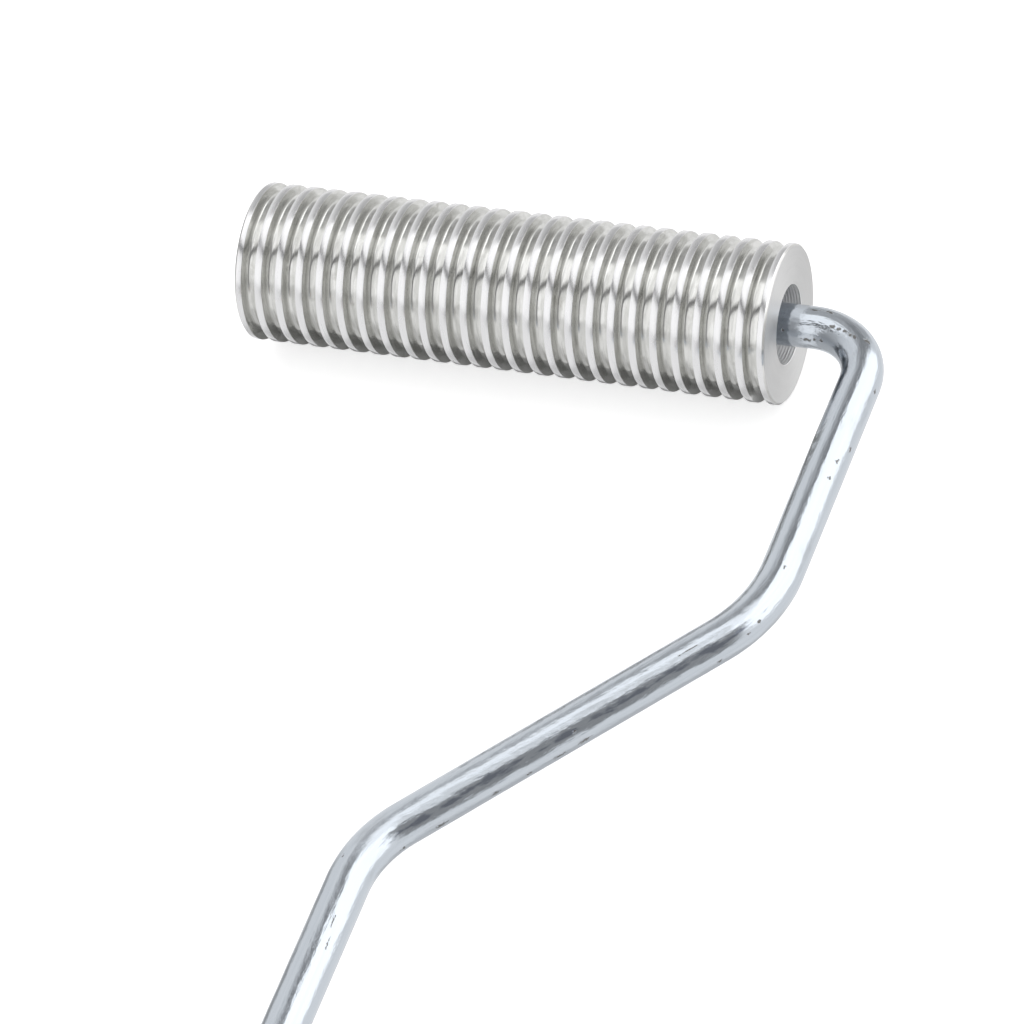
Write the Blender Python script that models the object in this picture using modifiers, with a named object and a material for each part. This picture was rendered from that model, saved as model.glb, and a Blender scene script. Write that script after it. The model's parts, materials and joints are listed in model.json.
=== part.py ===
"""Laminating roller: a grooved aluminium roller turning on a bent wire frame with a turned wooden handle.

The tool lies on a table. The roller's axis runs along X, the handle points to -Y, and +Z is up.
The origin is on the table, in the middle of the tool's footprint.
"""

from math import asin, atan2, ceil, cos, hypot, pi, radians, sin, tan

import bpy
from mathutils import Vector

# Roller barrel
ROLLER_RADIUS = 0.0110
GROOVES = 25
GROOVE_PITCH = 0.003025
LAND_WIDTH = 0.00105
GROOVE_DEPTH = 0.0018
GROOVE_FLOOR = 0.0011
END_CHAMFER = 0.0003
BORE_RADIUS = 0.0055
ROLLER_LENGTH = GROOVES * GROOVE_PITCH + LAND_WIDTH

# What sits in the bore
FIT_GAP = 0.0001
FACE_GAP = 0.0003
BORE_RECESS = 0.0040
BUSH_LENGTH = 0.0080
BUSH_CHAMFER = 0.0004
WASHER_THICKNESS = 0.0008
WASHER_RADIUS = 0.0050
COLLAR_LENGTH = 0.0030
COLLAR_RADIUS = 0.0047
COLLAR_CHAMFER = 0.0005
CAP_RADIUS = 0.0044
CAP_FLANGE_RADIUS = 0.0051
CAP_FLANGE_THICKNESS = 0.0007
CAP_CROWN = 0.0012
CAP_WALL = 0.0006

# Bent wire frame, in its own plane
WIRE_RADIUS = 0.0029
LEG_X = 0.05107
LEG_END = (0.04960, -0.04946)
SHANK_START = (0.00989, -0.09560)
SHANK_SPLAY = radians(1.0)
AXLE_BEND = 0.0088
LEG_BEND = 0.0206
SHANK_BEND = 0.0167
ARC_STEP = radians(8)

# Handle, measured along the shank from the axle's line
HANDLE_START = 0.1380
GRIP_LENGTH = 0.1180
TANG_LENGTH = 0.0650
TANG_BORE_RADIUS = 0.0032
FERRULE_LENGTH = 0.0140
FERRULE_RADIUS = 0.0090
FERRULE_WALL = 0.0008
NECK_RADIUS = 0.0092
SWELL_RADIUS = 0.0135
TAIL_RADIUS = 0.0118
SWELL_AT = 0.62
BUTT_ROUND = 0.0035
HANG_HOLE_RADIUS = 0.0035
HANG_HOLE_INSET = 0.0130

ROUND_STEPS = 32
TO_X_AXIS = (0.0, pi / 2, 0.0)


def clear_scene():
    for obj in list(bpy.data.objects):
        bpy.data.objects.remove(obj, do_unlink=True)


def new_collection(name):
    collection = bpy.data.collections.new(name)
    bpy.context.scene.collection.children.link(collection)
    return collection


def new_material(name, color, metallic, roughness):
    material = bpy.data.materials.new(name)
    material.use_nodes = True
    shader = material.node_tree.nodes["Principled BSDF"]
    shader.inputs["Base Color"].default_value = (*color, 1.0)
    shader.inputs["Metallic"].default_value = metallic
    shader.inputs["Roughness"].default_value = roughness
    return material


def new_empty(name, collection, parent=None, location=(0, 0, 0), rotation=(0, 0, 0)):
    empty = bpy.data.objects.new(name, None)
    empty.location = location
    empty.rotation_euler = rotation
    empty.parent = parent
    collection.objects.link(empty)
    return empty


def quarter_arc(center, radius, start, end, steps=5):
    """Points (r, z) on an arc about center, from one angle to another."""
    turn = (end - start) / steps
    angles = [start + turn * i for i in range(steps + 1)]
    return [(center[0] + radius * cos(a), center[1] + radius * sin(a)) for a in angles]


def turned(name, outline, material, collection, parent, closed=True):
    """A piece turned about its local Z from (r, z) points that run down the outer side."""
    mesh = bpy.data.meshes.new(name)
    edges = [(i, i + 1) for i in range(len(outline) - 1)]
    if closed:
        edges.append((len(outline) - 1, 0))
    mesh.from_pydata([(r, 0.0, z) for r, z in outline], edges, [])
    obj = bpy.data.objects.new(name, mesh)
    obj.parent = parent
    collection.objects.link(obj)
    screw = obj.modifiers.new("turning", "SCREW")
    screw.axis = "Z"
    screw.steps = ROUND_STEPS
    screw.render_steps = ROUND_STEPS
    screw.use_merge_vertices = True
    screw.merge_threshold = 0.00001
    screw.use_smooth_shade = True
    mesh.materials.append(material)
    return obj


def ring_outline(inner, outer, low, high, chamfer=0.0):
    """A plain sleeve or washer, with its outer edges chamfered if asked."""
    if not chamfer:
        return [(outer, high), (outer, low), (inner, low), (inner, high)]
    return [
        (outer - chamfer, high),
        (outer, high - chamfer),
        (outer, low + chamfer),
        (outer - chamfer, low),
        (inner, low),
        (inner, high),
    ]


def barrel_outline():
    """Lands and steep-walled grooves down the outside, then the through bore."""
    top = ROLLER_LENGTH / 2
    slope = (GROOVE_PITCH - LAND_WIDTH - GROOVE_FLOOR) / 2
    root = ROLLER_RADIUS - GROOVE_DEPTH
    points = [(ROLLER_RADIUS - END_CHAMFER, top), (ROLLER_RADIUS, top - END_CHAMFER)]
    for groove in range(GROOVES):
        start = top - LAND_WIDTH - groove * GROOVE_PITCH
        points.append((ROLLER_RADIUS, start))
        points.append((root, start - slope))
        points.append((root, start - slope - GROOVE_FLOOR))
        points.append((ROLLER_RADIUS, start - 2 * slope - GROOVE_FLOOR))
    points.append((ROLLER_RADIUS, END_CHAMFER - top))
    points.append((ROLLER_RADIUS - END_CHAMFER, -top))
    points.append((BORE_RADIUS, -top))
    points.append((BORE_RADIUS, top))
    return points


def cap_outline(outer_end, axle_end, open_end):
    """A crowned push-on cap over the axle's end, with a flange at its open side."""
    inner = WIRE_RADIUS + FIT_GAP
    crown = [
        (CAP_RADIUS * sin(a), outer_end + CAP_CROWN * (1 - cos(a)))
        for a in (pi / 2 * i / 6 for i in range(6, 0, -1))
    ]
    return [
        (0.0, axle_end - FACE_GAP),
        (inner, axle_end - FACE_GAP),
        (inner, open_end),
        (CAP_FLANGE_RADIUS, open_end),
        (CAP_FLANGE_RADIUS, open_end - CAP_FLANGE_THICKNESS),
        (CAP_RADIUS, open_end - CAP_FLANGE_THICKNESS),
        *crown,
        (0.0, outer_end),
    ]


def grip_radius(share):
    """The turned handle's radius, from its neck over the swell to its tail."""
    if share < SWELL_AT:
        rise = (1 - cos(pi * share / SWELL_AT)) / 2
        return NECK_RADIUS + (SWELL_RADIUS - NECK_RADIUS) * rise
    fall = (1 - cos(pi * (share - SWELL_AT) / (1 - SWELL_AT))) / 2
    return SWELL_RADIUS + (TAIL_RADIUS - SWELL_RADIUS) * fall


def grip_outline(stations=18):
    """The butt, the outer side down to the nose in the ferrule, and the tang's blind bore."""
    nose_radius = FERRULE_RADIUS - FERRULE_WALL - FACE_GAP
    body_end = GRIP_LENGTH - BUTT_ROUND
    body = body_end - FERRULE_LENGTH
    butt_center = (TAIL_RADIUS - BUTT_ROUND, body_end)
    side = [
        (grip_radius(i / stations), FERRULE_LENGTH + body * i / stations)
        for i in range(stations - 1, -1, -1)
    ]
    return [
        (0.0, GRIP_LENGTH),
        *quarter_arc(butt_center, BUTT_ROUND, pi / 2, 0.0),
        *side,
        (nose_radius, FERRULE_LENGTH),
        (nose_radius, 0.0),
        (TANG_BORE_RADIUS, 0.0),
        (TANG_BORE_RADIUS, TANG_LENGTH + FACE_GAP),
        (0.0, TANG_LENGTH + FACE_GAP),
    ]


def ferrule_outline():
    """A drawn steel cap over the grip's nose, with a hole for the shank."""
    back = FERRULE_LENGTH - FACE_GAP
    front = -FACE_GAP - FERRULE_WALL
    bend = 2 * FERRULE_WALL
    inner = FERRULE_RADIUS - FERRULE_WALL
    return [
        (FERRULE_RADIUS, back),
        *quarter_arc((FERRULE_RADIUS - bend, front + bend), bend, 0.0, -pi / 2),
        (TANG_BORE_RADIUS, front),
        (TANG_BORE_RADIUS, -FACE_GAP),
        (inner, -FACE_GAP),
        (inner, back),
    ]


def rounded_path(corners, radii):
    """The corner points joined by straight runs, with an arc of the given radius at each bend."""
    path = [corners[0]]
    for before, corner, after, radius in zip(corners, corners[1:], corners[2:], radii):
        back = (before - corner).normalized()
        ahead = (after - corner).normalized()
        half_angle = back.angle(ahead) / 2
        center = corner + (back + ahead).normalized() * radius / sin(half_angle)
        start = corner + back * radius / tan(half_angle) - center
        turn = pi - 2 * half_angle
        steps = ceil(turn / ARC_STEP)
        for i in range(steps + 1):
            angle = turn * i / steps
            path.append(center + start * cos(angle) - back * radius * sin(angle))
    path.append(corners[-1])
    return path


def shank_point(distance):
    """The point of the shank's centre line this far behind the axle's line."""
    x, y = SHANK_START
    run = distance + y
    return Vector((x - run * tan(SHANK_SPLAY), y - run, 0.0))


def wire_path():
    axle_end = Vector((BORE_RECESS + FACE_GAP + CAP_WALL - ROLLER_LENGTH / 2, 0.0, 0.0))
    corners = [
        axle_end,
        Vector((LEG_X, 0.0, 0.0)),
        Vector((*LEG_END, 0.0)),
        Vector((*SHANK_START, 0.0)),
        shank_point(HANDLE_START + TANG_LENGTH),
    ]
    return rounded_path(corners, (AXLE_BEND, LEG_BEND, SHANK_BEND))


def make_wire(material, collection, parent):
    curve = bpy.data.curves.new("wire_frame", "CURVE")
    curve.dimensions = "3D"
    curve.bevel_depth = WIRE_RADIUS
    curve.bevel_resolution = 4
    curve.use_fill_caps = True
    curve.materials.append(material)
    path = wire_path()
    spline = curve.splines.new("POLY")
    spline.points.add(len(path) - 1)
    for point, place in zip(spline.points, path):
        point.co = (*place, 1.0)
    obj = bpy.data.objects.new("wire_frame", curve)
    obj.parent = parent
    collection.objects.link(obj)
    return obj


def drill_hang_hole(grip, cutters, parent):
    bpy.ops.mesh.primitive_cylinder_add(vertices=24, radius=HANG_HOLE_RADIUS, depth=4 * SWELL_RADIUS)
    drill = bpy.context.object
    drill.name = "hang_hole_drill"
    for collection in list(drill.users_collection):
        collection.objects.unlink(drill)
    cutters.objects.link(drill)
    drill.parent = parent
    drill.location = (0.0, 0.0, GRIP_LENGTH - HANG_HOLE_INSET)
    drill.rotation_euler = (pi / 2, 0.0, 0.0)
    drill.hide_render = True
    drill.display_type = "WIRE"
    cut = grip.modifiers.new("hang hole", "BOOLEAN")
    cut.operation = "DIFFERENCE"
    cut.solver = "EXACT"
    cut.object = drill


def resting_tilt():
    """How far the handle's swell lifts the frame's plane when the roller and the handle touch the table."""
    body = GRIP_LENGTH - BUTT_ROUND - FERRULE_LENGTH
    swell = HANDLE_START + FERRULE_LENGTH + SWELL_AT * body
    return atan2(SWELL_RADIUS, swell) - asin(ROLLER_RADIUS / hypot(swell, SWELL_RADIUS))


def stand_on_origin(root, collection):
    """Move the tool so that the middle of its footprint is at the origin and it touches z = 0."""
    bpy.context.view_layer.update()
    graph = bpy.context.evaluated_depsgraph_get()
    corners = []
    for obj in collection.objects:
        if obj.type == "EMPTY":
            continue
        solid = obj.evaluated_get(graph)
        mesh = solid.to_mesh()
        corners += [solid.matrix_world @ vertex.co for vertex in mesh.vertices]
        solid.to_mesh_clear()
    low = [min(corner[i] for corner in corners) for i in range(3)]
    high = [max(corner[i] for corner in corners) for i in range(3)]
    root.location -= Vector(((low[0] + high[0]) / 2, (low[1] + high[1]) / 2, low[2]))
    bpy.context.view_layer.update()


def make_roller(parts, root, materials):
    axis = new_empty("roller_axis", parts, root, rotation=TO_X_AXIS)
    turned("roller_barrel", barrel_outline(), materials["aluminium"], parts, axis)
    outer = BORE_RADIUS - FIT_GAP
    inner = WIRE_RADIUS + FIT_GAP
    far = ROLLER_LENGTH / 2 - BORE_RECESS - COLLAR_LENGTH - WASHER_THICKNESS - 2 * FACE_GAP
    near = far - BUSH_LENGTH
    left = ring_outline(inner, outer, -far, -near, BUSH_CHAMFER)
    right = ring_outline(inner, outer, near, far, BUSH_CHAMFER)
    turned("left_bush", left, materials["nylon"], parts, axis)
    turned("right_bush", right, materials["nylon"], parts, axis)
    return far


def make_axle_fittings(parts, root, materials, bush_face):
    """The fixed pieces on the axle: a washer at each bush, the stop collar and the push-on cap."""
    axle = new_empty("axle", parts, root, rotation=TO_X_AXIS)
    inner = WIRE_RADIUS + FIT_GAP
    near = bush_face + FACE_GAP
    far = near + WASHER_THICKNESS
    left = ring_outline(inner, WASHER_RADIUS, -far, -near)
    right = ring_outline(inner, WASHER_RADIUS, near, far)
    turned("left_thrust_washer", left, materials["steel"], parts, axle)
    turned("right_thrust_washer", right, materials["steel"], parts, axle)
    stop = far + FACE_GAP
    collar = ring_outline(inner, COLLAR_RADIUS, stop, stop + COLLAR_LENGTH, COLLAR_CHAMFER)
    turned("stop_collar", collar, materials["steel"], parts, axle)
    outer_end = BORE_RECESS - ROLLER_LENGTH / 2
    axle_end = outer_end + FACE_GAP + CAP_WALL
    cap = cap_outline(outer_end, axle_end, -stop)
    turned("push_cap", cap, materials["steel"], parts, axle, closed=False)


def make_handle(parts, cutters, root, materials):
    turn = (pi / 2, 0.0, -SHANK_SPLAY)
    axis = new_empty("shank_axis", parts, root, shank_point(HANDLE_START), turn)
    grip = turned("handle_grip", grip_outline(), materials["beech"], parts, axis, closed=False)
    drill_hang_hole(grip, cutters, axis)
    turned("ferrule", ferrule_outline(), materials["steel"], parts, axis)


def main():
    clear_scene()
    parts = new_collection("laminating_roller")
    cutters = new_collection("cutters")
    materials = {
        "aluminium": new_material("turned_aluminium", (0.80, 0.80, 0.81), 1.0, 0.25),
        "zinc": new_material("bright_zinc", (0.70, 0.73, 0.77), 1.0, 0.22),
        "steel": new_material("plated_steel", (0.62, 0.63, 0.65), 1.0, 0.30),
        "nylon": new_material("nylon", (0.80, 0.79, 0.74), 0.0, 0.45),
        "beech": new_material("lacquered_beech", (0.62, 0.40, 0.20), 0.0, 0.35),
    }
    root = new_empty("tool", parts, rotation=(-resting_tilt(), 0.0, 0.0))
    bush_face = make_roller(parts, root, materials)
    make_axle_fittings(parts, root, materials, bush_face)
    make_wire(materials["zinc"], parts, root)
    make_handle(parts, cutters, root, materials)
    stand_on_origin(root, parts)


main()
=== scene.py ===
"""Looks of the laminating roller: finely turned pieces, the wire, the materials and a plain studio.

The tool lies on the floor. Its own frame has its origin in the middle of the roller, with X along the
roller's axis and Y away from the handle; everything is built there and then moved to its place.
"""

import json
from math import asin, atan2, ceil, cos, hypot, pi, radians, sin, tan

import bpy
from mathutils import Matrix, Vector

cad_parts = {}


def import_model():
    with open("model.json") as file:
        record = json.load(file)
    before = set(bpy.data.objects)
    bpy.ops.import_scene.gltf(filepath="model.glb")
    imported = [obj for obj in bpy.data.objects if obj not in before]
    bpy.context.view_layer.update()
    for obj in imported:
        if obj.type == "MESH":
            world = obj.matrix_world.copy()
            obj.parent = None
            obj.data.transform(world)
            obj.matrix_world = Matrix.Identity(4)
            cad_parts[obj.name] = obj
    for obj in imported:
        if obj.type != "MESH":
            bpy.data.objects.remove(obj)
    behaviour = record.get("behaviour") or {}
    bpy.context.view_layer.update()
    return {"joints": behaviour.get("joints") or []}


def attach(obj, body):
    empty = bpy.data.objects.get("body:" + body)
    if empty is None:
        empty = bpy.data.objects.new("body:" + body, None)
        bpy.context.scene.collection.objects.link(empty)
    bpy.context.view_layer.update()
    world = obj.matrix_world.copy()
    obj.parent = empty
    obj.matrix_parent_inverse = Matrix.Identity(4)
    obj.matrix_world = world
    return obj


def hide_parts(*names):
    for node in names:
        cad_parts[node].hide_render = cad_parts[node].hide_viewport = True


# Roller barrel
ROLLER_RADIUS = 0.0110
GROOVES = 25
GROOVE_PITCH = 0.003025
LAND_WIDTH = 0.00105
GROOVE_DEPTH = 0.0018
GROOVE_ROUND = 0.0006
GROOVE_DRAFT = radians(1.2)
END_CHAMFER = 0.0003
EDGE_ROUND = 0.00006
BORE_RADIUS = 0.0055
BORE_FEED = 0.00042
ROLLER_LENGTH = GROOVES * GROOVE_PITCH + LAND_WIDTH

# Bare aluminium, each from its darker to its lighter colour: grooves, lands, the faced ends and the bore; the
# grooves' colour is set darker than the lands'
GROOVE_DARK = (0.62, 0.62, 0.60)
GROOVE_PALE = (0.77, 0.77, 0.755)
GROOVE_STAIN = (0.42, 0.41, 0.38)
LAND_DULL = (0.79, 0.79, 0.80)
LAND_CLEAN = (0.87, 0.87, 0.88)
FACED_DULL = (0.64, 0.64, 0.64)
FACED_CLEAN = (0.72, 0.72, 0.72)
BORED_DULL = (0.84, 0.84, 0.84)
BORED_CLEAN = (0.96, 0.96, 0.96)

# How near to a surface the look changes to that surface's own: starts, is complete
SKIN_START = 0.00012
SKIN = 0.00003

# What sits in the bore
FIT_GAP = 0.0001
FACE_GAP = 0.0003
BORE_RECESS = 0.0040
BUSH_LENGTH = 0.0080
BUSH_CHAMFER = 0.0004
WASHER_THICKNESS = 0.0008
WASHER_RADIUS = 0.0050
COLLAR_LENGTH = 0.0030
COLLAR_RADIUS = 0.0047
COLLAR_CHAMFER = 0.0005
CAP_RADIUS = 0.0044
CAP_FLANGE_RADIUS = 0.0051
CAP_FLANGE_THICKNESS = 0.0007
CAP_CROWN = 0.0012
CAP_WALL = 0.0006
BUSH_ROUND = 0.0002
RING_ROUND = 0.00012
FITTING_TINT = (0.70, 0.71, 0.73)
NYLON_DARK = (0.74, 0.72, 0.65)
NYLON_LIGHT = (0.86, 0.85, 0.80)

# Bent wire frame, in its own plane
WIRE_RADIUS = 0.0029
LEG_X = 0.05107
LEG_END = (0.04960, -0.04946)
SHANK_START = (0.00989, -0.09560)
SHANK_SPLAY = radians(1.0)
AXLE_BEND = 0.0088
LEG_BEND = 0.0206
SHANK_BEND = 0.0167

# Zinc plating
ZINC_DULL = (0.555, 0.60, 0.655)
ZINC_BRIGHT = (0.67, 0.715, 0.77)
ZINC_CLOUDY = (0.46, 0.485, 0.515)
PIT_COLOR = (0.17, 0.16, 0.145)
# Colour of the painted reflection patches on the wire's diagonal
PAINTED_REFLECTION_COLOR = (0.27, 0.30, 0.37)

# Stretches where the plated surface is rougher: (start, end in mm from the axle's far end, extra ripple)
ROUGH_EDGE = 0.003
ROUGH_STRETCHES = (
    (66.0, 87.0, 0.6),
    (128.0, 156.0, 0.2),
    (158.0, 186.0, 0.5),
    (200.0, 209.0, 0.6),
)

# Handle, measured along the shank from the axle's line
HANDLE_START = 0.1380
GRIP_LENGTH = 0.1180
TANG_LENGTH = 0.0650
TANG_BORE_RADIUS = 0.0032
FERRULE_LENGTH = 0.0140
FERRULE_RADIUS = 0.0090
FERRULE_WALL = 0.0008
NECK_RADIUS = 0.0092
SWELL_RADIUS = 0.0135
TAIL_RADIUS = 0.0118
SWELL_AT = 0.62
BUTT_ROUND = 0.0035
HANG_HOLE_RADIUS = 0.0035
HANG_HOLE_INSET = 0.0130
HANG_HOLE_FLARE = 0.0008
NECK_SHOULDER = 0.0005
FERRULE_TINT = (0.74, 0.755, 0.775)
RING_FINENESS = 4000.0

# Beech, and where its pith lies from the world's origin
BEECH_DARK = (0.58, 0.345, 0.165)
BEECH_LIGHT = (0.70, 0.455, 0.245)
BEECH_LATE_WOOD = (0.47, 0.25, 0.11)
BEECH_FIBER = (0.78, 0.55, 0.33)
BEECH_FLECK = (0.33, 0.155, 0.07)
BEECH_PITH = (-0.021, 0.0, -0.034)

# Mesh density
BARREL_SIDES = 184
FITTING_SIDES = 96
GRIP_SIDES = 128
WIRE_SIDES = 56
WIRE_STEP = 0.0006
WIRE_TURN = radians(3)

# Camera, about a point near the wire's middle
CAMERA_AIM = Vector((0.01115, -0.03860, 0.00049))
CAMERA_AZIMUTH = radians(29.363)
CAMERA_ELEVATION = radians(48.105)
CAMERA_ROLL = radians(-14.96)
CAMERA_DISTANCE = 0.72683
CAMERA_LENS = 193.108

# Studio
FLOOR_SIZE = 6.0
FLOOR_PAINT = 0.82
FLOOR_GLOW = 0.60
FLOOR_DROP = 0.0002
# The roller's shade: a dark sheet on the floor under the roller, seen only in the metal's reflections, is a
# painted shadow
SHADE_FRONT = 0.0085
SHADE_BACK = 0.0150
SHADE_PAINT = 0.66
SHADE_DROP = 0.0001
BACKDROP = (0.93, 0.93, 0.93)
ROOM_GREY = 0.88
GROUND_GREY = 0.92
# (azimuth, elevation, half width, half height, soft edge in degrees, brightness); azimuth 0 is -Y, 90 is +X
PANELS = (
    # Painted shade below the horizon: darker than the ground grey where the metal mirrors the shaded floor
    # beside the tool
    (-113, -18, 14, 14, 12, 0.38),
    (185, 25, 22, 33, 12, 0.50),
    (172, 42, 16, 20, 10, 0.30),
    (119, 31, 37, 35, 8, 1.60),
    (168, 73, 24, 6.5, 5, 1.35),
    (33, 28, 40, 36, 10, 0.33),
    (-90, 70, 24, 19, 6, 1.28),
    (-30, 60, 54, 6.2, 3, 0.10),
    (-27, 33.5, 31, 22, 6, 1.15),
    # Painted shade below the horizon as well: the shaded floor under and in front of the roller as the metal
    # mirrors it
    (-58, -72, 16, 12, 14, 0.60),
    (28, -58, 22, 18, 14, 0.58),
    (85, -76, 25, 14, 12, 0.62),
)

# Painted reflection: dark bluish patches along the band where the diagonal mirrors a dark part of the room:
# (mm from the axle's far end, angle about the wire, length, width in mm)
PAINTED_REFLECTION_PATCHES = (
    (138.5, 41, 8.0, 0.62),
    (144.8, 42, 6.0, 0.56),
    (151.5, 41, 8.0, 0.60),
    (162.0, 40, 5.0, 0.46),
    (171.5, 42, 6.5, 0.70),
    (176.5, 41, 6.0, 0.66),
    (183.0, 40, 8.0, 0.50),
)

# Pits in the wire, in the same terms
PITS = (
    (71.8, 148, 0.40, 0.34),
    (75.3, 168, 1.30, 0.50),
    (75.6, 77, 1.30, 0.34),
    (76.7, 163, 0.90, 0.46),
    (77.7, 72, 1.20, 0.38),
    (78.2, 160, 0.80, 0.40),
    (79.3, 112, 0.90, 0.50),
    (80.4, 107, 0.80, 0.46),
    (81.6, 100, 0.80, 0.50),
    (82.6, 96, 0.90, 0.42),
    (83.4, 91, 0.70, 0.46),
    (84.4, 62, 0.80, 0.70),
    (91.0, 15, 0.70, 0.42),
    (101.8, 20, 0.80, 0.44),
    (104.8, 45, 0.70, 0.42),
    (107.8, 48, 0.50, 0.36),
    (124.0, 66, 0.44, 0.30),
    (131.8, 31, 0.50, 0.34),
    (133.8, 23, 0.44, 0.36),
    (138.3, -4, 0.60, 0.40),
    (141.5, 69, 2.20, 0.12),
    (158.9, -4, 1.50, 0.52),
    (159.7, 36, 0.44, 0.30),
    (162.6, -8, 1.60, 0.46),
    (167.3, -8, 1.00, 0.40),
    (172.3, -8, 1.20, 0.46),
    (180.5, -8, 1.80, 0.44),
    (186.6, -8, 1.10, 0.38),
    (193.5, 112, 0.44, 0.30),
    (203.2, 62, 1.60, 0.16),
    (206.4, 52, 1.80, 0.18),
)


# ---------------------------------------------------------------- meshes

def new_piece(name, vertices, faces, material, matrix, sharp=radians(30)):
    """A smooth-shaded mesh object whose vertices are already in place."""
    mesh = bpy.data.meshes.new(name)
    mesh.from_pydata([matrix @ Vector(v) for v in vertices], [], faces)
    mesh.polygons.foreach_set("use_smooth", [True] * len(mesh.polygons))
    mesh.set_sharp_from_angle(angle=sharp)
    mesh.materials.append(material)
    mesh.update()
    obj = bpy.data.objects.new(name, mesh)
    bpy.context.scene.collection.objects.link(obj)
    return obj


def turned(name, outline, material, matrix, sides=FITTING_SIDES, closed=True):
    """A piece turned about its local Z from (radius, z) points that run down the outer side.

    A point on the axis becomes one vertex.
    """
    vertices, rings = [], []
    for radius, z in outline:
        start = len(vertices)
        if radius == 0.0:
            vertices.append((0.0, 0.0, z))
            rings.append([start] * sides)
            continue
        for side in range(sides):
            angle = 2 * pi * side / sides
            vertices.append((radius * cos(angle), radius * sin(angle), z))
        rings.append(list(range(start, start + sides)))
    pairs = list(zip(rings, rings[1:]))
    if closed:
        pairs.append((rings[-1], rings[0]))
    faces = []
    for upper, lower in pairs:
        for side in range(sides):
            after = (side + 1) % sides
            corners = [upper[side], lower[side], lower[after], upper[after]]
            faces.append(list(dict.fromkeys(corners)))
    return new_piece(name, vertices, faces, material, matrix)


def arc(center, radius, start, end, steps):
    """Points (r, z) on an arc about center, from one angle to another."""
    angles = [start + (end - start) * i / steps for i in range(steps + 1)]
    return [(center[0] + radius * cos(a), center[1] + radius * sin(a)) for a in angles]


def rounded_outline(corners, radius, steps=4):
    """A closed (r, z) outline with every corner rounded by the given radius."""
    points = []
    count = len(corners)
    for i, corner in enumerate(corners):
        here = Vector(corner)
        back = Vector(corners[i - 1]) - here
        ahead = Vector(corners[(i + 1) % count]) - here
        reach = min(radius, 0.45 * back.length, 0.45 * ahead.length)
        start = here + back.normalized() * reach
        end = here + ahead.normalized() * reach
        for step in range(steps + 1):
            t = step / steps
            point = start * (1 - t) ** 2 + here * 2 * t * (1 - t) + end * t ** 2
            points.append(tuple(point))
    return points


# ---------------------------------------------------------------- node helpers

def add_node(tree, kind, **settings):
    node = tree.nodes.new(kind)
    for key, value in settings.items():
        setattr(node, key, value)
    return node


def feed(tree, socket, source):
    """Links a socket to an output, or sets its value."""
    if isinstance(source, bpy.types.NodeSocket):
        tree.links.new(source, socket)
    else:
        socket.default_value = source


def math(tree, operation, *inputs, clamp=False):
    node = add_node(tree, "ShaderNodeMath", operation=operation, use_clamp=clamp)
    for socket, source in zip(node.inputs, inputs):
        feed(tree, socket, source)
    return node.outputs[0]


def vector_math(tree, operation, *inputs, output="Vector"):
    node = add_node(tree, "ShaderNodeVectorMath", operation=operation)
    for socket, source in zip(node.inputs, inputs):
        feed(tree, socket, source)
    return node.outputs[output]


def smooth_step(tree, source, low, high, to_low=0.0, to_high=1.0):
    node = add_node(tree, "ShaderNodeMapRange", interpolation_type="SMOOTHSTEP")
    for socket, value in zip(node.inputs, (source, low, high, to_low, to_high)):
        feed(tree, socket, value)
    return node.outputs[0]


def mix(tree, factor, first, second):
    node = add_node(tree, "ShaderNodeMix", data_type="RGBA")
    for key, source in (("Factor_Float", factor), ("A_Color", first), ("B_Color", second)):
        socket = next(s for s in node.inputs if s.identifier == key)
        feed(tree, socket, source)
    return next(s for s in node.outputs if s.identifier == "Result_Color")


def stretched(tree, source, scale, shift=(0.0, 0.0, 0.0)):
    """The coordinates scaled along each axis, so that a pattern stretches."""
    scaled = vector_math(tree, "MULTIPLY", source, scale)
    return vector_math(tree, "ADD", scaled, shift)


def noise_value(tree, vector, scale=1.0, detail=2.0, roughness=0.5):
    node = add_node(tree, "ShaderNodeTexNoise")
    feed(tree, node.inputs["Vector"], vector)
    node.inputs["Scale"].default_value = scale
    node.inputs["Detail"].default_value = detail
    node.inputs["Roughness"].default_value = roughness
    return node.outputs[0]


def bump(tree, height, strength, distance, normal=None):
    node = add_node(tree, "ShaderNodeBump")
    feed(tree, node.inputs["Height"], height)
    node.inputs["Strength"].default_value = strength
    node.inputs["Distance"].default_value = distance
    if normal is not None:
        feed(tree, node.inputs["Normal"], normal)
    return node.outputs[0]


def new_material(name, **values):
    """A Principled material with its uniform values set; returns (material, tree, shader)."""
    material = bpy.data.materials.new(name)
    material.use_nodes = True
    tree = material.node_tree
    shader = tree.nodes["Principled BSDF"]
    for key, value in values.items():
        shader.inputs[key.replace("_", " ")].default_value = value
    return material, tree, shader


def color(grey_or_rgb):
    return (*grey_or_rgb, 1.0)


# ---------------------------------------------------------------- materials

def roller_coordinates(tree, axis_point):
    """(vector about the roller's axis, distance from the axis, distance along plus outwards)."""
    place = add_node(tree, "ShaderNodeTexCoord").outputs["Object"]
    about = vector_math(tree, "SUBTRACT", place, tuple(axis_point))
    across = vector_math(tree, "MULTIPLY", about, (0.0, 1.0, 1.0))
    radius = vector_math(tree, "LENGTH", across, output="Value")
    parts = add_node(tree, "ShaderNodeSeparateXYZ")
    feed(tree, parts.inputs[0], about)
    cut = math(tree, "ADD", parts.outputs["X"], radius)
    return about, radius, cut


def turning_lines(tree, about, cut, fineness, spread):
    """Noise that changes fast across the tool's path and slowly along it."""
    across = vector_math(tree, "MULTIPLY", about, (0.0, spread, spread))
    along = add_node(tree, "ShaderNodeCombineXYZ")
    feed(tree, along.inputs["X"], math(tree, "MULTIPLY", cut, fineness))
    return vector_math(tree, "ADD", along.outputs[0], across)


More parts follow.
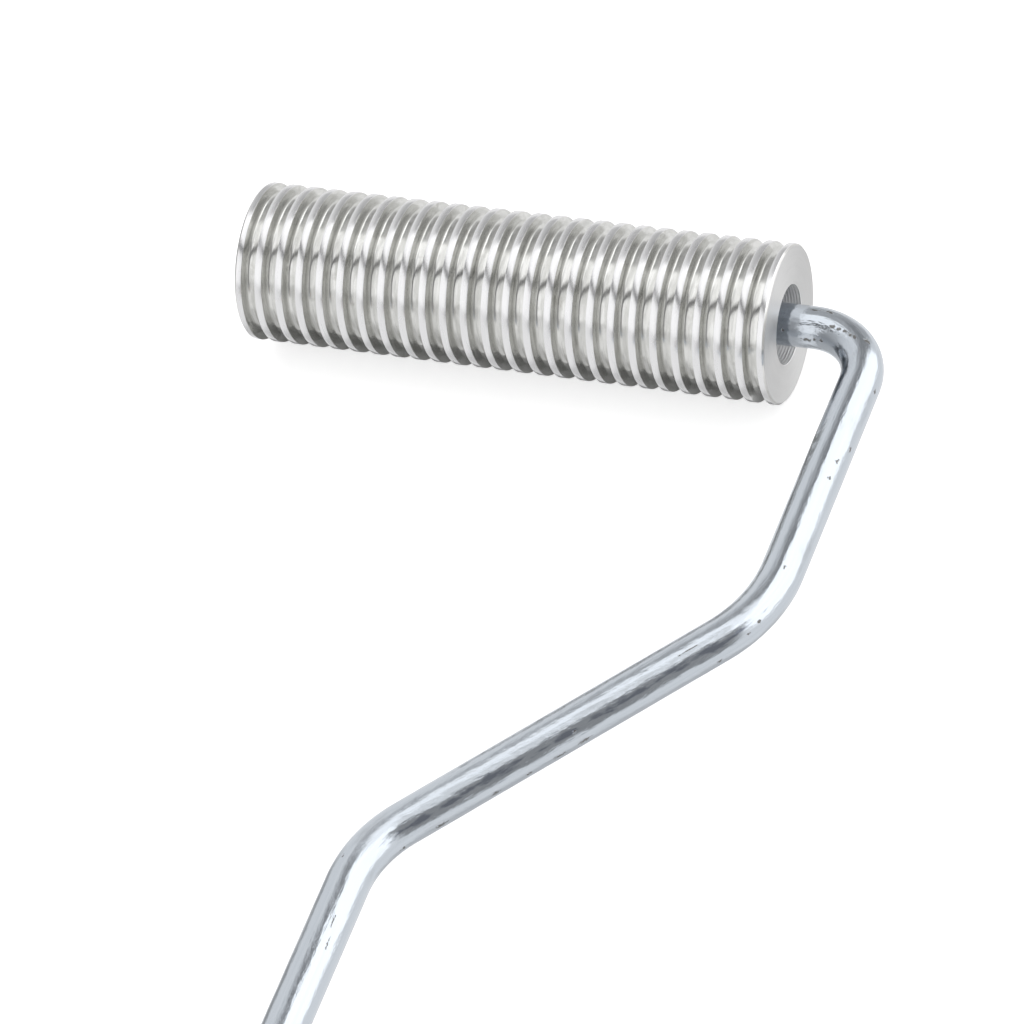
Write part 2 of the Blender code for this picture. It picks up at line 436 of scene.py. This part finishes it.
def aluminium(axis_point):
    """Turned aluminium: bright lands, darker and stained grooves, satin faced ends, and a bored hole."""
    material, tree, shader = new_material(
        "turned_aluminium", Metallic=1.0, Anisotropic=0.6, Anisotropic_Rotation=0.25
    )
    about, radius, cut = roller_coordinates(tree, axis_point)
    outside = smooth_step(tree, radius, ROLLER_RADIUS - SKIN_START, ROLLER_RADIUS - SKIN)
    in_bore = smooth_step(tree, radius, BORE_RADIUS + SKIN, BORE_RADIUS + SKIN_START, 1.0, 0.0)
    along = math(tree, "ABSOLUTE", vector_math(tree, "DOT_PRODUCT", about, (1.0, 0.0, 0.0), output="Value"))
    at_end = smooth_step(tree, along, ROLLER_LENGTH / 2 - SKIN_START, ROLLER_LENGTH / 2 - SKIN)
    lines = noise_value(tree, turning_lines(tree, about, cut, 9000.0, 60.0), detail=4.0, roughness=0.7)
    bands = noise_value(tree, turning_lines(tree, about, cut, 1300.0, 240.0), detail=3.0)
    cloud = noise_value(tree, about, scale=420.0, detail=3.0)
    # The grooves' colour, set darker than the lands' colour
    groove = mix(tree, smooth_step(tree, bands, 0.3, 0.7), color(GROOVE_DARK), color(GROOVE_PALE))
    land = mix(tree, lines, color(LAND_DULL), color(LAND_CLEAN))
    stained = smooth_step(tree, cloud, 0.60, 0.78, 0.0, 0.5)
    groove = mix(tree, stained, groove, color(GROOVE_STAIN))
    faced = mix(tree, lines, color(FACED_DULL), color(FACED_CLEAN))
    bored = mix(tree, lines, color(BORED_DULL), color(BORED_CLEAN))
    base = mix(tree, at_end, mix(tree, outside, groove, land), faced)
    feed(tree, shader.inputs["Base Color"], mix(tree, in_bore, base, bored))
    rough = smooth_step(tree, bands, 0.3, 0.7, 0.24, 0.17)
    rough = math(tree, "MULTIPLY_ADD", outside, 0.05, rough)
    satin = math(tree, "MAXIMUM", in_bore, at_end)
    feed(tree, shader.inputs["Roughness"], math(tree, "MULTIPLY_ADD", satin, 0.30, rough))
    feed_marks = math(tree, "SINE", math(tree, "MULTIPLY", cut, 2 * pi / BORE_FEED))
    first = bump(tree, math(tree, "MULTIPLY", feed_marks, in_bore), 0.6, 0.00003)
    first = bump(tree, lines, 0.35, 0.00002, first)
    feed(tree, shader.inputs["Normal"], bump(tree, bands, 0.5, 0.00004, first))
    tangent = add_node(tree, "ShaderNodeTangent", direction_type="RADIAL", axis="X")
    feed(tree, shader.inputs["Tangent"], tangent.outputs[0])
    return material


def marked(tree, straight, marks, ragged, inner, outer):
    """How deep in one of the wire's marks a point lies: 1 inside, 0 outside, with ragged edges."""
    nearest = None
    for distance, angle, length, width in marks:
        place = (WIRE_RADIUS * cos(radians(angle)), WIRE_RADIUS * sin(radians(angle)), distance / 1000)
        offset = vector_math(tree, "SUBTRACT", straight, place)
        scale = (2000 / width, 2000 / width, 2000 / length)
        size = vector_math(tree, "LENGTH", vector_math(tree, "MULTIPLY", offset, scale), output="Value")
        nearest = size if nearest is None else math(tree, "MINIMUM", nearest, size)
    return smooth_step(tree, math(tree, "ADD", nearest, ragged), inner, outer, 1.0, 0.0)


def roughened(tree, straight):
    """How strongly the surface ripples: 1 on clean wire, more on the rough stretches."""
    parts = add_node(tree, "ShaderNodeSeparateXYZ")
    feed(tree, parts.inputs[0], straight)
    along = parts.outputs["Z"]
    total = 1.0
    for start, end, extra in ROUGH_STRETCHES:
        first, last = start / 1000, end / 1000
        into = smooth_step(tree, along, first - ROUGH_EDGE, first + ROUGH_EDGE, 0.0, extra)
        left = smooth_step(tree, along, last - ROUGH_EDGE, last + ROUGH_EDGE, 1.0, 0.0)
        total = math(tree, "MULTIPLY_ADD", into, left, total)
    return total


def zinc(name):
    """Bright zinc plating over drawn wire, in the straightened wire's own coordinates."""
    material, tree, shader = new_material(name, Metallic=1.0)
    straight = add_node(tree, "ShaderNodeAttribute", attribute_name="straight").outputs["Vector"]
    streaks = noise_value(tree, stretched(tree, straight, (1700.0, 1700.0, 40.0)), detail=3.0, roughness=0.6)
    ripple = noise_value(tree, stretched(tree, straight, (1900.0, 1900.0, 420.0)), detail=3.0, roughness=0.55)
    wave = noise_value(tree, stretched(tree, straight, (480.0, 480.0, 150.0)), detail=1.0)
    cloud = noise_value(tree, stretched(tree, straight, (230.0, 230.0, 90.0)), detail=4.0, roughness=0.6)
    base = mix(tree, streaks, color(ZINC_DULL), color(ZINC_BRIGHT))
    base = mix(tree, smooth_step(tree, cloud, 0.58, 0.80, 0.0, 0.7), base, color(ZINC_CLOUDY))
    roughness = smooth_step(tree, streaks, 0.25, 0.75, 0.10, 0.17)
    normal = bump(tree, wave, 0.35, 0.0003)
    normal = bump(tree, streaks, 0.25, 0.00002, normal)
    uneven = math(tree, "MULTIPLY", ripple, roughened(tree, straight))
    normal = bump(tree, uneven, 0.5, 0.00009, normal)
    fine = noise_value(tree, stretched(tree, straight, (4200.0, 4200.0, 2400.0)), detail=2.0, roughness=0.6)
    pit = marked(tree, straight, PITS, math(tree, "MULTIPLY_ADD", fine, 4.4, -2.2), 0.6, 1.2)
    # Painted reflection: dark bluish patches laid over the diagonal's dark reflected band
    painted_reflection = marked(tree, straight, PAINTED_REFLECTION_PATCHES, math(tree, "MULTIPLY_ADD", ripple, 5.0, -2.5), 0.4, 1.6)
    base = mix(tree, math(tree, "MULTIPLY", painted_reflection, 0.8), base, color(PAINTED_REFLECTION_COLOR))
    base = mix(tree, math(tree, "MULTIPLY", pit, 0.85), base, color(PIT_COLOR))
    feed(tree, shader.inputs["Base Color"], base)
    feed(tree, shader.inputs["Roughness"], math(tree, "MULTIPLY_ADD", pit, 0.3, roughness))
    feed(tree, shader.inputs["Normal"], bump(tree, pit, 0.6, -0.00008, normal))
    return material


def plated_steel(name, axis_matrix, tint):
    """Satin plated steel with fine rings about the piece's own axis."""
    material, tree, shader = new_material(name, Metallic=1.0)
    place = add_node(tree, "ShaderNodeTexCoord").outputs["Object"]
    inverse = axis_matrix.inverted()
    rows = []
    for row in inverse[:3]:
        turned_part = vector_math(tree, "DOT_PRODUCT", place, tuple(row[:3]), output="Value")
        rows.append(math(tree, "ADD", turned_part, row[3]))
    local = add_node(tree, "ShaderNodeCombineXYZ")
    for socket, part in zip(local.inputs, rows):
        feed(tree, socket, part)
    across = vector_math(tree, "MULTIPLY", local.outputs[0], (1.0, 1.0, 0.0))
    radius = vector_math(tree, "LENGTH", across, output="Value")
    cut = math(tree, "ADD", rows[2], radius)
    path = add_node(tree, "ShaderNodeCombineXYZ")
    feed(tree, path.inputs["X"], math(tree, "MULTIPLY", cut, RING_FINENESS))
    lines = vector_math(tree, "ADD", path.outputs[0], stretched(tree, across, (90.0, 90.0, 0.0)))
    rings = noise_value(tree, lines, detail=3.0, roughness=0.6)
    cloud = noise_value(tree, place, scale=300.0, detail=4.0)
    base = mix(tree, rings, color(tuple(0.85 * c for c in tint)), color(tint))
    base = mix(tree, smooth_step(tree, cloud, 0.55, 0.8), base, color(tuple(0.72 * c for c in tint)))
    feed(tree, shader.inputs["Base Color"], base)
    feed(tree, shader.inputs["Roughness"], smooth_step(tree, cloud, 0.3, 0.7, 0.22, 0.36))
    feed(tree, shader.inputs["Normal"], bump(tree, rings, 0.3, 0.00003))
    return material


def nylon():
    material, tree, shader = new_material("natural_nylon", Roughness=0.45)
    place = add_node(tree, "ShaderNodeTexCoord").outputs["Object"]
    cloud = noise_value(tree, place, scale=500.0, detail=3.0)
    grain = noise_value(tree, place, scale=6000.0, detail=2.0)
    base = mix(tree, cloud, color(NYLON_DARK), color(NYLON_LIGHT))
    feed(tree, shader.inputs["Base Color"], base)
    feed(tree, shader.inputs["Normal"], bump(tree, grain, 0.3, 0.00002))
    return material


def beech():
    """Turned beech: growth rings about a far pith, dark flecks along the grain, clear lacquer."""
    material, tree, shader = new_material("lacquered_beech", Coat_Weight=0.6, Coat_Roughness=0.14)
    place = add_node(tree, "ShaderNodeTexCoord").outputs["Object"]
    wander = noise_value(tree, stretched(tree, place, (60.0, 9.0, 60.0)), detail=2.0)
    pith = vector_math(tree, "SUBTRACT", place, BEECH_PITH)
    across = vector_math(tree, "MULTIPLY", pith, (1.0, 0.0, 1.0))
    distance = vector_math(tree, "LENGTH", across, output="Value")
    ring = math(tree, "ADD", math(tree, "MULTIPLY", distance, 2100.0), math(tree, "MULTIPLY", wander, 9.0))
    late = math(tree, "MULTIPLY_ADD", math(tree, "SINE", ring), 0.5, 0.5)
    fiber = noise_value(tree, stretched(tree, place, (2600.0, 60.0, 2600.0)), detail=3.0, roughness=0.65)
    fleck = noise_value(tree, stretched(tree, place, (1500.0, 260.0, 1500.0)), detail=1.0)
    tone = noise_value(tree, stretched(tree, place, (40.0, 6.0, 40.0)), detail=2.0)
    base = mix(tree, tone, color(BEECH_DARK), color(BEECH_LIGHT))
    base = mix(tree, smooth_step(tree, late, 0.55, 1.0, 0.0, 0.45), base, color(BEECH_LATE_WOOD))
    base = mix(tree, smooth_step(tree, fiber, 0.35, 0.75, 0.0, 0.35), base, color(BEECH_FIBER))
    dash = smooth_step(tree, fleck, 0.66, 0.72, 0.0, 0.75)
    base = mix(tree, dash, base, color(BEECH_FLECK))
    feed(tree, shader.inputs["Base Color"], base)
    feed(tree, shader.inputs["Roughness"], smooth_step(tree, fiber, 0.3, 0.7, 0.34, 0.5))
    normal = bump(tree, fiber, 0.35, 0.00003)
    feed(tree, shader.inputs["Normal"], bump(tree, dash, 0.4, -0.00004, normal))
    return material


# ---------------------------------------------------------------- roller

def barrel_outline():
    """Lands with softly broken edges, deep flat-bottomed grooves, end chamfers and the through bore."""
    top = ROLLER_LENGTH / 2
    half_width = (GROOVE_PITCH - LAND_WIDTH) / 2
    corner = ROLLER_RADIUS - GROOVE_DEPTH + GROOVE_ROUND
    reach = pi / 2 - GROOVE_DRAFT
    wall = GROOVE_DEPTH - GROOVE_ROUND * (1 - sin(GROOVE_DRAFT))
    flat = half_width - GROOVE_ROUND * cos(GROOVE_DRAFT) - wall * tan(GROOVE_DRAFT)
    eased = EDGE_ROUND * (1 - cos(pi / 4))
    steps = 6
    side = [
        (ROLLER_RADIUS, half_width + EDGE_ROUND),
        (ROLLER_RADIUS - eased, half_width + eased),
        (ROLLER_RADIUS - EDGE_ROUND, half_width),
        *[
            (corner - GROOVE_ROUND * cos(a), flat + GROOVE_ROUND * sin(a))
            for a in (reach * (1 - i / steps) for i in range(steps + 1))
        ],
    ]
    groove = side + [(r, -z) for r, z in reversed(side)]
    points = [(ROLLER_RADIUS - END_CHAMFER, top), (ROLLER_RADIUS, top - END_CHAMFER)]
    for number in range(GROOVES):
        middle = top - LAND_WIDTH - number * GROOVE_PITCH - half_width
        points += [(r, middle + z) for r, z in groove]
    points.append((ROLLER_RADIUS, END_CHAMFER - top))
    points.append((ROLLER_RADIUS - END_CHAMFER, -top))
    bore = [(BORE_RADIUS + EDGE_ROUND, -top), (BORE_RADIUS, EDGE_ROUND - top)]
    lip = BORE_RECESS + 2 * FACE_GAP + COLLAR_LENGTH + WASHER_THICKNESS
    inside = [(BORE_RADIUS, z) for z in (lip - top, 0.0, top - lip)]
    points += bore + inside + [(r, -z) for r, z in reversed(bore)]
    return points


def make_roller(matrix, materials):
    barrel = turned("barrel", barrel_outline(), materials["aluminium"], matrix, BARREL_SIDES)
    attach(barrel, "roller")
    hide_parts("roller_barrel")
    outer = BORE_RADIUS - FIT_GAP
    inner = WIRE_RADIUS + FIT_GAP
    far = ROLLER_LENGTH / 2 - BORE_RECESS - COLLAR_LENGTH - WASHER_THICKNESS - 2 * FACE_GAP
    near = far - BUSH_LENGTH
    for name, side in (("left_bush", -1), ("right_bush", 1)):
        low, high = sorted((side * near, side * far))
        outline = [
            (outer - BUSH_CHAMFER, high),
            (outer, high - BUSH_CHAMFER),
            (outer, low + BUSH_CHAMFER),
            (outer - BUSH_CHAMFER, low),
            (inner, low),
            (inner, high),
        ]
        bush = turned(name + "_fine", rounded_outline(outline, BUSH_ROUND), materials["nylon"], matrix)
        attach(bush, "roller")
        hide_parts(name)
    return far


def make_axle_fittings(matrix, materials, bush_face):
    """The fixed pieces on the axle: a washer at each bush, the stop collar and the push-on cap."""
    inner = WIRE_RADIUS + FIT_GAP
    near = bush_face + FACE_GAP
    far = near + WASHER_THICKNESS
    stop = far + FACE_GAP
    collar_end = stop + COLLAR_LENGTH
    outlines = {
        "left_thrust_washer": [(WASHER_RADIUS, -near), (WASHER_RADIUS, -far), (inner, -far), (inner, -near)],
        "right_thrust_washer": [(WASHER_RADIUS, far), (WASHER_RADIUS, near), (inner, near), (inner, far)],
        "stop_collar": [
            (COLLAR_RADIUS - COLLAR_CHAMFER, collar_end),
            (COLLAR_RADIUS, collar_end - COLLAR_CHAMFER),
            (COLLAR_RADIUS, stop + COLLAR_CHAMFER),
            (COLLAR_RADIUS - COLLAR_CHAMFER, stop),
            (inner, stop),
            (inner, collar_end),
        ],
    }
    for name, corners in outlines.items():
        piece = turned(name + "_fine", rounded_outline(corners, RING_ROUND), materials["fitting"], matrix)
        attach(piece, "handle_frame")
        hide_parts(name)
    cap = turned("push_cap_fine", cap_outline(-stop), materials["fitting"], matrix, closed=False)
    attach(cap, "handle_frame")
    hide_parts("push_cap")


def cap_outline(open_end):
    """A crowned push-on cap over the axle's end, with a flange at its open side."""
    inner = WIRE_RADIUS + FIT_GAP
    outer_end = BORE_RECESS - ROLLER_LENGTH / 2
    floor = outer_end + CAP_WALL
    steps = 16
    crown = [
        (CAP_RADIUS * sin(a), outer_end + CAP_CROWN * (1 - cos(a)))
        for a in (pi / 2 * i / steps for i in range(steps, 0, -1))
    ]
    return [
        (0.0, floor),
        (inner, floor),
        (inner, open_end),
        (CAP_FLANGE_RADIUS - EDGE_ROUND, open_end),
        (CAP_FLANGE_RADIUS, open_end - EDGE_ROUND),
        (CAP_FLANGE_RADIUS, open_end - CAP_FLANGE_THICKNESS + EDGE_ROUND),
        (CAP_FLANGE_RADIUS - EDGE_ROUND, open_end - CAP_FLANGE_THICKNESS),
        (CAP_RADIUS, open_end - CAP_FLANGE_THICKNESS),
        *crown,
        (0.0, outer_end),
    ]


# ---------------------------------------------------------------- wire frame

def shank_point(distance):
    """The point of the shank's centre line this far behind the axle's line."""
    x, y = SHANK_START
    run = distance + y
    return Vector((x - run * tan(SHANK_SPLAY), y - run, 0.0))


def wire_path():
    """(point, direction) stations along the wire, close together on the bends and on the straights."""
    axle_end = Vector((BORE_RECESS + FACE_GAP + CAP_WALL - ROLLER_LENGTH / 2, 0.0, 0.0))
    corners = [
        axle_end,
        Vector((LEG_X, 0.0, 0.0)),
        Vector((*LEG_END, 0.0)),
        Vector((*SHANK_START, 0.0)),
        shank_point(HANDLE_START + TANG_LENGTH),
    ]
    stations = []
    here = corners[0]
    bends = (AXLE_BEND, LEG_BEND, SHANK_BEND)
    for before, corner, after, radius in zip(corners, corners[1:], corners[2:], bends):
        back = (before - corner).normalized()
        ahead = (after - corner).normalized()
        half_angle = back.angle(ahead) / 2
        center = corner + (back + ahead).normalized() * radius / sin(half_angle)
        bend_start = corner + back * radius / tan(half_angle)
        stations += straight_run(here, bend_start)[bool(stations):]
        turn = pi - 2 * half_angle
        steps = ceil(turn / WIRE_TURN)
        spoke = bend_start - center
        for i in range(1, steps + 1):
            angle = turn * i / steps
            point = center + spoke * cos(angle) - back * radius * sin(angle)
            stations.append((point, -back * cos(angle) - spoke / radius * sin(angle)))
        here = stations[-1][0]
    stations += straight_run(here, corners[-1])[1:]
    return stations


def straight_run(start, end):
    """Stations from start up to, and with, end."""
    count = ceil((end - start).length / WIRE_STEP)
    direction = (end - start).normalized()
    return [(start.lerp(end, i / count), direction) for i in range(count + 1)]


def make_wire(matrix, materials):
    stations = wire_path()
    vertices, straight = [], []
    travelled = 0.0
    previous = stations[0][0]
    for point, direction in stations:
        travelled += (point - previous).length
        previous = point
        side = Vector((-direction.y, direction.x, 0.0))
        for i in range(WIRE_SIDES):
            angle = 2 * pi * i / WIRE_SIDES
            out = side * cos(angle) + Vector((0.0, 0.0, 1.0)) * sin(angle)
            vertices.append(point + out * WIRE_RADIUS)
            straight.append((WIRE_RADIUS * cos(angle), WIRE_RADIUS * sin(angle), travelled))
    faces = []
    for ring in range(len(stations) - 1):
        for i in range(WIRE_SIDES):
            after = (i + 1) % WIRE_SIDES
            low, high = ring * WIRE_SIDES, (ring + 1) * WIRE_SIDES
            faces.append([low + i, low + after, high + after, high + i])
    last = (len(stations) - 1) * WIRE_SIDES
    faces.append(list(range(WIRE_SIDES - 1, -1, -1)))
    faces.append(list(range(last, last + WIRE_SIDES)))
    wire = new_piece("bent_wire", vertices, faces, materials["zinc"], matrix)
    mesh = wire.data
    place = mesh.attributes.new("straight", "FLOAT_VECTOR", "POINT")
    place.data.foreach_set("vector", [value for row in straight for value in row])
    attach(wire, "handle_frame")
    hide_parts("wire_frame")


# ---------------------------------------------------------------- handle

def grip_radius(share):
    """The turned handle's radius, from its neck over the swell to its tail."""
    if share < SWELL_AT:
        rise = (1 - cos(pi * share / SWELL_AT)) / 2
        return NECK_RADIUS + (SWELL_RADIUS - NECK_RADIUS) * rise
    fall = (1 - cos(pi * (share - SWELL_AT) / (1 - SWELL_AT))) / 2
    return SWELL_RADIUS + (TAIL_RADIUS - SWELL_RADIUS) * fall


def grip_outline(stations=72):
    """The butt, the outer side down to the nose in the ferrule, and the tang's blind bore."""
    nose_radius = FERRULE_RADIUS - FERRULE_WALL - FACE_GAP
    body_end = GRIP_LENGTH - BUTT_ROUND
    body = body_end - FERRULE_LENGTH
    butt_center = (TAIL_RADIUS - BUTT_ROUND, body_end)
    side = [
        (grip_radius(i / stations), FERRULE_LENGTH + body * i / stations)
        for i in range(stations - 1, 0, -1)
    ]
    return [
        (0.0, GRIP_LENGTH),
        (TAIL_RADIUS - 2 * BUTT_ROUND, GRIP_LENGTH),
        *arc(butt_center, BUTT_ROUND, pi / 2, 0.0, 12),
        *side,
        (NECK_RADIUS, FERRULE_LENGTH + NECK_SHOULDER),
        (NECK_RADIUS - NECK_SHOULDER, FERRULE_LENGTH),
        (nose_radius, FERRULE_LENGTH),
        (nose_radius, 0.0),
        (TANG_BORE_RADIUS, 0.0),
        (TANG_BORE_RADIUS, TANG_LENGTH + FACE_GAP),
        (0.0, TANG_LENGTH + FACE_GAP),
    ]


def ferrule_outline():
    """A drawn steel cap over the grip's nose, with a rolled back edge and a hole for the shank."""
    back = FERRULE_LENGTH - FACE_GAP
    front = -FACE_GAP - FERRULE_WALL
    bend = 2 * FERRULE_WALL
    inner = FERRULE_RADIUS - FERRULE_WALL
    lip = FERRULE_WALL / 2
    return [
        *arc((FERRULE_RADIUS - lip, back - lip), lip, pi, 0.0, 10),
        *arc((FERRULE_RADIUS - bend, front + bend), bend, 0.0, -pi / 2, 10),
        (TANG_BORE_RADIUS + EDGE_ROUND, front),
        (TANG_BORE_RADIUS, front + EDGE_ROUND),
        (TANG_BORE_RADIUS, -FACE_GAP),
        (inner, -FACE_GAP),
    ]


def drill_hang_hole(grip, matrix):
    """Cuts the hang hole through the butt, countersunk a little on both sides."""
    half = 2 * SWELL_RADIUS
    rim = TAIL_RADIUS - HANG_HOLE_FLARE
    flare = HANG_HOLE_RADIUS + half - rim
    outline = [
        (0.0, half),
        (flare, half),
        (HANG_HOLE_RADIUS, rim),
        (HANG_HOLE_RADIUS, -rim),
        (flare, -half),
        (0.0, -half),
    ]
    across = Matrix.Translation((0.0, 0.0, GRIP_LENGTH - HANG_HOLE_INSET)) @ Matrix.Rotation(pi / 2, 4, "X")
    drill = turned("hang_hole_drill", outline, grip.data.materials[0], matrix @ across, 64, closed=False)
    cut = grip.modifiers.new("hang hole", "BOOLEAN")
    cut.operation = "DIFFERENCE"
    cut.solver = "EXACT"
    cut.object = drill
    bpy.context.view_layer.update()
    graph = bpy.context.evaluated_depsgraph_get()
    drilled = bpy.data.meshes.new_from_object(grip.evaluated_get(graph))
    grip.modifiers.clear()
    grip.data = drilled
    bpy.data.objects.remove(drill)


def make_handle(matrix, materials):
    grip = turned("turned_grip", grip_outline(), materials["beech"], matrix, GRIP_SIDES, closed=False)
    drill_hang_hole(grip, matrix)
    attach(grip, "handle_frame")
    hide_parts("handle_grip")
    ferrule = turned("drawn_ferrule", ferrule_outline(), materials["ferrule"], matrix, GRIP_SIDES)
    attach(ferrule, "handle_frame")
    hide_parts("ferrule")


# ---------------------------------------------------------------- studio

def from_angles(azimuth, elevation):
    """The direction at this azimuth (0 is -Y, 90 degrees is +X) and elevation."""
    flat = cos(elevation)
    return Vector((sin(azimuth) * flat, -cos(azimuth) * flat, sin(elevation)))


def light_panel(tree, direction, glow, panel):
    """Mixes one soft-edged rectangular panel, seen far away, into the room's brightness."""
    azimuth, elevation, half_width, half_height, edge = map(radians, panel[:5])
    middle = from_angles(azimuth, elevation)
    right = Vector((cos(azimuth), sin(azimuth), 0.0))
    up = right.cross(middle) * -1
    depth = vector_math(tree, "DOT_PRODUCT", direction, tuple(middle), output="Value")
    safe = math(tree, "MAXIMUM", depth, 0.05)
    mask = smooth_step(tree, depth, 0.0, 0.1)
    for axis, half in ((right, half_width), (up, half_height)):
        offset = vector_math(tree, "DOT_PRODUCT", direction, tuple(axis), output="Value")
        angle = math(tree, "ARCTANGENT", math(tree, "ABSOLUTE", math(tree, "DIVIDE", offset, safe)))
        side = smooth_step(tree, angle, half - edge / 2, half + edge / 2, 1.0, 0.0)
        mask = math(tree, "MULTIPLY", mask, side)
    brightness = panel[5]
    return mix(tree, mask, glow, (brightness, brightness, brightness, 1.0))


def make_world():
    world = bpy.data.worlds.new("studio")
    bpy.context.scene.world = world
    world.use_nodes = True
    tree = world.node_tree
    direction = add_node(tree, "ShaderNodeTexCoord").outputs["Generated"]
    height = add_node(tree, "ShaderNodeSeparateXYZ")
    feed(tree, height.inputs[0], direction)
    above = smooth_step(tree, height.outputs["Z"], -0.08, 0.06)
    glow = mix(tree, above, color((GROUND_GREY,) * 3), color((ROOM_GREY,) * 3))
    for panel in PANELS:
        glow = light_panel(tree, direction, glow, panel)
    seen = add_node(tree, "ShaderNodeLightPath").outputs["Is Camera Ray"]
    shown = mix(tree, seen, glow, color(BACKDROP))
    feed(tree, tree.nodes["Background"].inputs["Color"], shown)


def floor_sheet(name, low, high, height, paint, glow):
    material, tree, shader = new_material(name, Roughness=0.8, Specular_IOR_Level=0.2)
    shader.inputs["Base Color"].default_value = color((paint,) * 3)
    shader.inputs["Emission Color"].default_value = color((1.0, 1.0, 1.0))
    shader.inputs["Emission Strength"].default_value = glow
    outline = [(low[0], low[1]), (high[0], low[1]), (high[0], high[1]), (low[0], high[1])]
    corners = [(x, y, height) for x, y in outline]
    sheet = new_piece(name, corners, [[0, 1, 2, 3]], material, Matrix.Identity(4))
    return sheet


def make_floor(roller_center):
    """The pale floor that is seen, and a dark sheet under the roller, a painted shadow that only the metal
    mirrors.
    """
    half = FLOOR_SIZE / 2
    floor = floor_sheet("floor", (-half, -half), (half, half), -FLOOR_DROP, FLOOR_PAINT, FLOOR_GLOW)
    floor.visible_glossy = False
    middle = roller_center.xy
    reach = Vector((ROLLER_LENGTH / 2, 0.0))
    low = middle - reach - Vector((0.0, SHADE_FRONT))
    high = middle + reach + Vector((0.0, SHADE_BACK))
    # Painted shadow: a dark sheet under the roller that only the metal's reflections see
    shade = floor_sheet("roller_shade", low, high, -SHADE_DROP, SHADE_PAINT, 0.0)
    shade.visible_camera = False
    shade.visible_diffuse = False
    shade.visible_shadow = False


def make_camera(roller_center):
    back = from_angles(CAMERA_AZIMUTH, CAMERA_ELEVATION)
    level = Vector((cos(CAMERA_AZIMUTH), sin(CAMERA_AZIMUTH), 0.0))
    right = level * cos(CAMERA_ROLL) + back.cross(level) * sin(CAMERA_ROLL)
    up = back.cross(right)
    data = bpy.data.cameras.new("camera")
    data.lens = CAMERA_LENS
    data.clip_start = 0.05
    data.clip_end = 50.0
    camera = bpy.data.objects.new("camera", data)
    place = roller_center + CAMERA_AIM + back * CAMERA_DISTANCE
    turn = Matrix((right, up, back)).transposed()
    camera.matrix_world = Matrix.Translation(place) @ turn.to_4x4()
    bpy.context.scene.collection.objects.link(camera)
    bpy.context.scene.camera = camera


# ---------------------------------------------------------------- assembly

def resting_tilt():
    """How far the handle's swell lifts the frame's plane when the roller and the handle touch the table."""
    body = GRIP_LENGTH - BUTT_ROUND - FERRULE_LENGTH
    swell = HANDLE_START + FERRULE_LENGTH + SWELL_AT * body
    return atan2(SWELL_RADIUS, swell) - asin(ROLLER_RADIUS / hypot(swell, SWELL_RADIUS))


def main():
    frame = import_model()
    roller_center = Vector(frame["joints"][0]["pos_m"])
    tool = Matrix.Translation(roller_center) @ Matrix.Rotation(-resting_tilt(), 4, "X")
    roller_axis = tool @ Matrix.Rotation(pi / 2, 4, "Y")
    handle_turn = Matrix.Rotation(-SHANK_SPLAY, 4, "Z") @ Matrix.Rotation(pi / 2, 4, "X")
    handle_axis = tool @ Matrix.Translation(shank_point(HANDLE_START)) @ handle_turn
    materials = {
        "aluminium": aluminium(roller_center),
        "zinc": zinc("bright_zinc"),
        "fitting": plated_steel("plated_fitting", roller_axis, FITTING_TINT),
        "ferrule": plated_steel("drawn_ferrule_steel", handle_axis, FERRULE_TINT),
        "nylon": nylon(),
        "beech": beech(),
    }
    bush_face = make_roller(roller_axis, materials)
    make_axle_fittings(roller_axis, materials, bush_face)
    make_wire(tool, materials)
    make_handle(handle_axis, materials)
    make_floor(roller_center)
    make_world()
    make_camera(roller_center)
    bpy.context.scene.view_settings.view_transform = "Standard"
    bpy.context.view_layer.update()


main()
